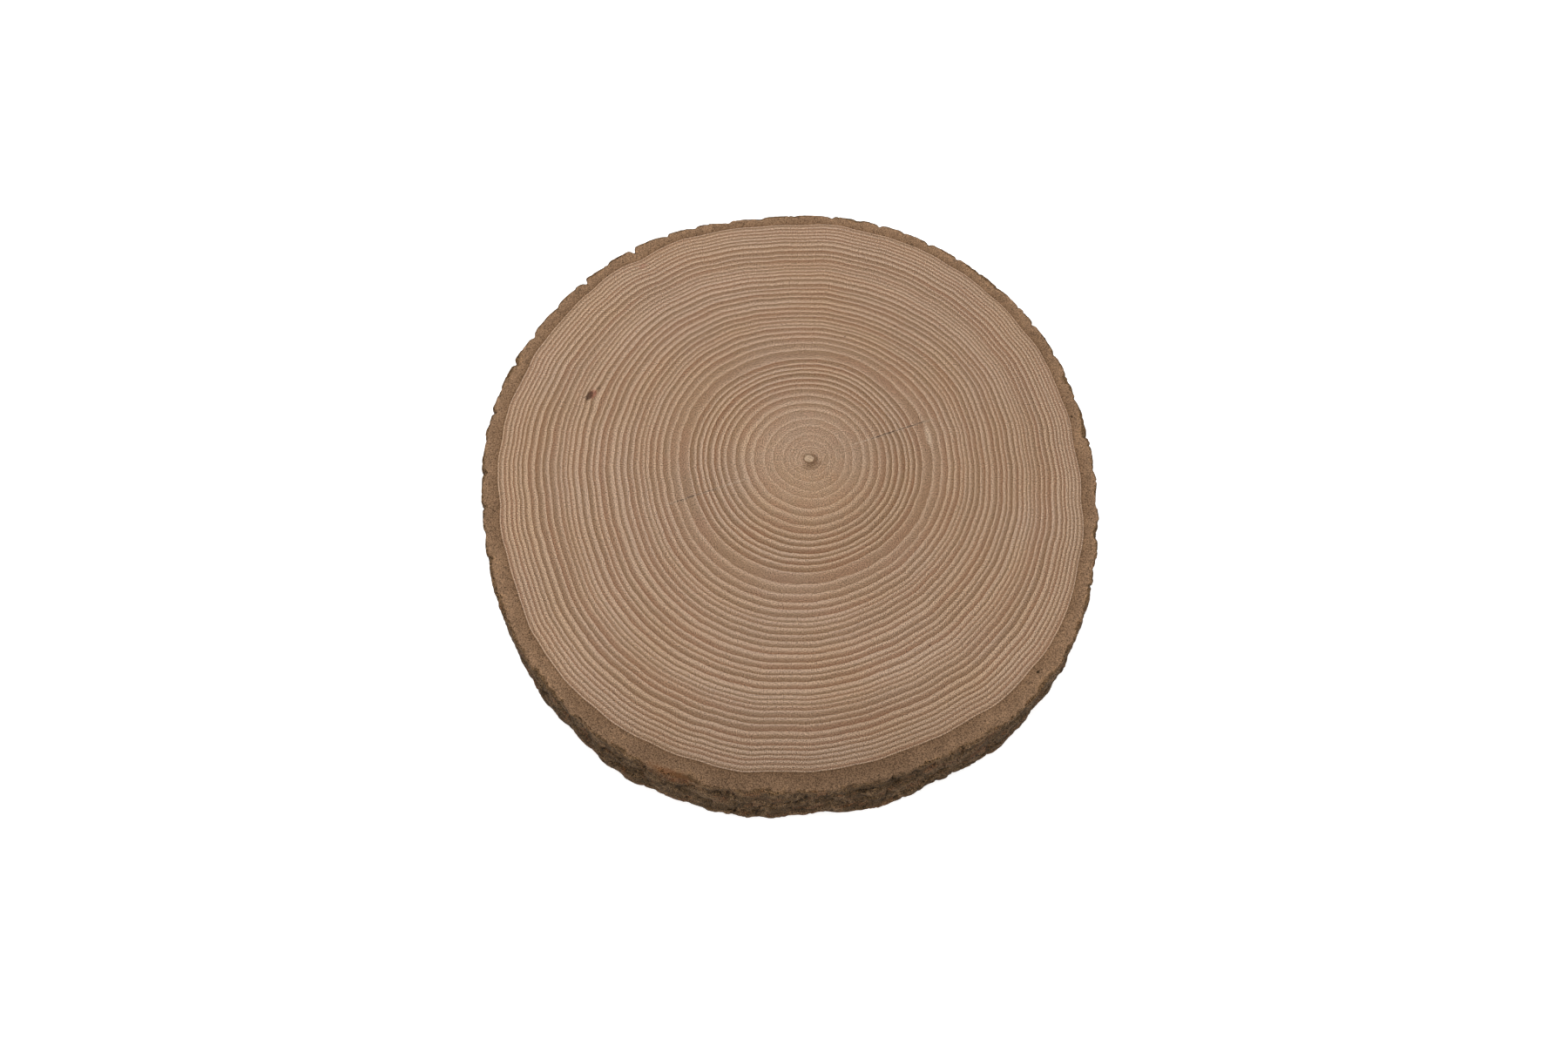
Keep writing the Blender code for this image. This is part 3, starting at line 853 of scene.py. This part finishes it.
    # The knot, near black, with a reddish streak beside it and a speck further on, and smaller specks
    bearing, distance, _, _ = wood["knot"]
    x, y = offset(bearing, distance)
    marks = [
        ((x + 1.7 * mm, y + 0.9 * mm), 60, (2.6 * mm, 1.5 * mm), "knotStreak", 0.7),
        ((x, y), 62, (2.7 * mm, 1.5 * mm), "knot", 0.85),
        ((x + 4.6 * mm, y + 4.4 * mm), 0, (0.9 * mm, 0.9 * mm), "knot", 0.5),
        (offset(128, 138.5 * mm), 38, (2.2 * mm, 1.2 * mm), "knotStreak", 0.35),
    ]
    for bearing, distance, width in woodFinish["specks"]:
        marks.append((offset(bearing, distance * mm), 0, (width * mm, width * mm), "knot", 0.7))
    for place, angle, size, paint, share in marks:
        mark = flat.spot(place, angle, size, wobble, 1.3, 0.7)
        colour = (mark * share).blend(colour, woodFinish[paint])

    # Fine grain, slow stains and painted shade on the near edge over all
    grain = flat.noise(0.50 * mm, 1, 0.6) - 0.5
    fleck = flat.noise(1.8 * mm, 2) - 0.5
    stain = flat.noise(42 * mm, 2) - 0.5
    pores = flat.noise(1.1 * mm, 1).step(0.62, 0.74) * 0.16
    # Painted shade: the wood darkens towards the near edge
    shade = paintedNearShade(flat, woodFinish["paintedNearShade"])
    level = (1 + grain * 3.7 + fleck * 0.3 + stain * 0.16 - pores) * shade
    level = level * (1 + woodFinish["gain"] - flat.axis("X") / (150 * mm) * woodFinish["sidePale"])
    warm = flat.noise(60 * mm, 1).step(0.35, 0.65) + (lotHue.step(0.3, 0.7) - 0.5) * 0.7
    bearing, distance, reach = woodFinish["dusk"]
    dusk = flat.spot(offset(bearing, distance), 0, (reach, reach), wobble, 1.6, 0.2)
    warm = warm + dusk * 0.5
    level = level * (1 - dusk * 0.06)
    green, blue = level * (1.02 - warm * 0.025), level * (1.055 - warm * 0.08)
    tint = level.node("ShaderNodeCombineXYZ", None, {"X": level, "Y": green, "Z": blue})
    connect(colour.times(tint), shader.inputs["Base Color"])
    connect(0.66 + 0.12 * pale + 0.3 * grain, shader.inputs["Roughness"])
    bump = {"Strength": 0.4, "Distance": 0.06 * mm, "Height": grain}
    connect(grain.node("ShaderNodeBump", None, bump), shader.inputs["Normal"])
    print("wood painted:", len(start.tree.nodes), "nodes")


barkFinish = {
    "sawn": surface(139, 110, 85),  # the sawn rim
    "line": surface(108, 81, 58),  # where it meets the wood
    "orange": surface(148, 115, 84),
    "side": surface(74, 56, 36),
    "pale": surface(112, 89, 66),
    "rust": surface(108, 70, 46),
    "streak": surface(116, 72, 42),
    # Near black: painted shade in the side's pits and hollows, and the rim's dark specks
    "pit": surface(28, 18, 5),
    "specular": 0.04,
    "rustyStreak": (247.5, 172.6 * mm, -22.5, (12 * mm, 2.2 * mm)),  # bearing, distance, turn, half sizes
    "specks": ((10, 132.5, 0.6), (314, 154, 0.8)),  # bearing, mm out, mm wide
    "paintedNearShade": 0.33,  # how much painted shade darkens the sawn rim towards the near edge
}


# The bark: an even sawn rim, and on the side brown scales by their own numbers, darker in their hollows,
# partly by their own colour and partly by painted shade
def paintBark(piece):
    start, shader = startMaterial("rough_bark", piece, barkFinish["specular"])
    position = start.node("ShaderNodeTexCoord", output="Object")
    flat = fromPith(position)
    outward = attribute(start, "outward")
    hollow = attribute(start, "hollow")
    scale = attribute(start, "scale")
    ragged = position.noise(2.2 * mm, 3) - 0.5
    slow = position.noise(22 * mm, 2) - 0.5

    # The sawn rim: a dark line along the wood, even brown, and orange patches towards the edge
    cork = position.noise(0.55 * mm, 2, 0.65) - 0.5
    line = ((outward + ragged * 0.2).step(0.16, 0.0) + (outward + slow * 1.6).step(0.9, 0.1)) * 0.4
    rim = line.blend(barkFinish["sawn"], barkFinish["line"])
    patches = (outward + slow * 2.6 + ragged * 1.6 + cork).step(0.80, 1.40) * 0.6
    rim = patches.blend(rim, barkFinish["orange"])
    skin = (outward + ragged * 0.4 + slow * 1.2).step(0.90, 1.02) * 0.75
    rim = skin.blend(rim, barkFinish["side"])
    level = 1.07 + cork * 3.9 + (position.noise(4 * mm, 2) - 0.5) * 0.3
    rim = rim.times(level.grey())
    wobble = ragged * 0.9
    for bearing, distance, width in barkFinish["specks"]:
        mark = flat.spot(offset(bearing, distance * mm), 0, (width * mm, width * mm), wobble, 1.3, 0.7)
        rim = (mark * 0.8).blend(rim, barkFinish["pit"])
    # Painted shade: the sawn rim darkens towards the near edge
    rim = rim.times(paintedNearShade(flat, barkFinish["paintedNearShade"]).grey())

    # The side: grey-brown scales, rust and pale ones among them, with dark pits and cracks, partly the
    # bark's own dark and partly painted shade that deepens with the hollows
    tall = position.times((1, 1, 0.5))
    lumps = tall.noise(3.2 * mm, 5, 0.75) - 0.5
    side = (scale * 0.5 + lumps * 2.4).step(0.0, 0.85).blend(barkFinish["side"], barkFinish["pale"])
    rust = (position.noise(9 * mm, 3) + ragged * 0.3).step(0.52, 0.70) * 0.45
    side = rust.blend(side, barkFinish["rust"])
    pitsAndShade = (hollow * 0.9 + (tall.noise(1.3 * mm, 2, 0.65) - 0.5) * 2.9 - lumps * 0.8).step(0.28, 1.0)
    side = (pitsAndShade * 0.9).blend(side, barkFinish["pit"])
    warmth = (outward + slow * 1.6 + ragged * 0.7).step(1.6, 1.0) * 0.25
    side = warmth.blend(side, barkFinish["orange"])
    tongues = position.noise(8 * mm, 2) - 0.5
    onSide = (outward + ragged * 0.30 + tongues * 0.7).step(0.93, 1.03)
    colour = onSide.blend(rim, side)

    # A rusty streak below the sawn edge
    frayed = ragged * 2.6 + cork * 2.4
    bearing, distance, turn, size = barkFinish["rustyStreak"]
    streak = flat.spot(offset(bearing, distance), turn, size, frayed, 1.3, 0.3)
    streak = streak * position.axis("Z").step(30 * mm, 41 * mm)
    colour = (streak * 0.5).blend(colour, barkFinish["streak"])

    # Fine grain over the side
    grain = position.noise(0.55 * mm, 1) - 0.5
    level = 1.03 + onSide * grain * 6.0 + slow * 0.3
    connect(colour.times(level.grey()), shader.inputs["Base Color"])
    connect(0.84 + 0.2 * grain, shader.inputs["Roughness"])
    rough = (0.25 + onSide) * position.noise(1.6 * mm, 4, 0.6)
    bump = {"Strength": 0.8, "Distance": 0.5 * mm, "Height": rough}
    connect(rough.node("ShaderNodeBump", None, bump), shader.inputs["Normal"])
    print("bark painted:", len(start.tree.nodes), "nodes")


studio = {
    "floorHalf": 4.0,
    "floorDrop": 0.05 * mm,
    "floorColour": (0.9, 0.9, 0.9, 1),
    "floorGlow": 0.5,  # keeps the floor white under the slice's shadow
    "sky": 1.05,
    "lampPlace": (-0.35, 0.9, 1.2),
    "lampSize": 1.2,
    "lampPower": 11.0,
    "cameraPlace": (-2.12 * mm, -391.69 * mm, 922.24 * mm),
    "cameraTilt": 23,  # degrees from straight down
    "lens": 45,
}


# A pale floor just under the slice, an even sky, one soft lamp that looks at the middle, and the camera
def makeStudio():
    half, low = studio["floorHalf"], -studio["floorDrop"]
    corners = [(-half, -half, low), (half, -half, low), (half, half, low), (-half, half, low)]
    mesh = bpy.data.meshes.new("studio_floor")
    mesh.from_pydata(corners, [], [(0, 1, 2, 3)])
    floor = bpy.data.objects.new("studio_floor", mesh)
    bpy.context.scene.collection.objects.link(floor)
    _, shader = startMaterial("pale_floor", floor, 0.0)
    shader.inputs["Base Color"].default_value = studio["floorColour"]
    shader.inputs["Roughness"].default_value = 1.0
    shader.inputs["Emission Color"].default_value = (1, 1, 1, 1)
    shader.inputs["Emission Strength"].default_value = studio["floorGlow"]

    world = bpy.data.worlds.new("soft_sky")
    world.use_nodes = True
    world.node_tree.nodes["Background"].inputs["Color"].default_value = (1, 1, 1, 1)
    world.node_tree.nodes["Background"].inputs["Strength"].default_value = studio["sky"]
    bpy.context.scene.world = world

    light = bpy.data.lights.new("soft_lamp", "AREA")
    light.shape = "DISK"
    light.size = studio["lampSize"]
    light.energy = studio["lampPower"]
    lamp = bpy.data.objects.new("soft_lamp", light)
    lamp.location = studio["lampPlace"]
    x, y, z = studio["lampPlace"]
    lamp.rotation_euler = (math.atan2(-math.hypot(x, y), z), 0, math.atan2(x, -y) + math.pi)
    bpy.context.scene.collection.objects.link(lamp)

    view = bpy.data.cameras.new("camera")
    view.lens = studio["lens"]
    view.sensor_width = 36
    view.sensor_fit = "HORIZONTAL"
    camera = bpy.data.objects.new("camera", view)
    camera.location = studio["cameraPlace"]
    camera.rotation_euler = (math.radians(studio["cameraTilt"]), 0, 0)
    bpy.context.scene.collection.objects.link(camera)
    bpy.context.scene.camera = camera
    bpy.context.scene.view_settings.view_transform = "Standard"
    return floor


makeStudio()
print("studio ready")
for makeIt, paintIt, slot in ((makeWood, paintWood, "wood"), (makeBark, paintBark, "bark")):
    piece = makeIt()
    paintIt(piece)
    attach(piece, "root")
    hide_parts("wood_slice")
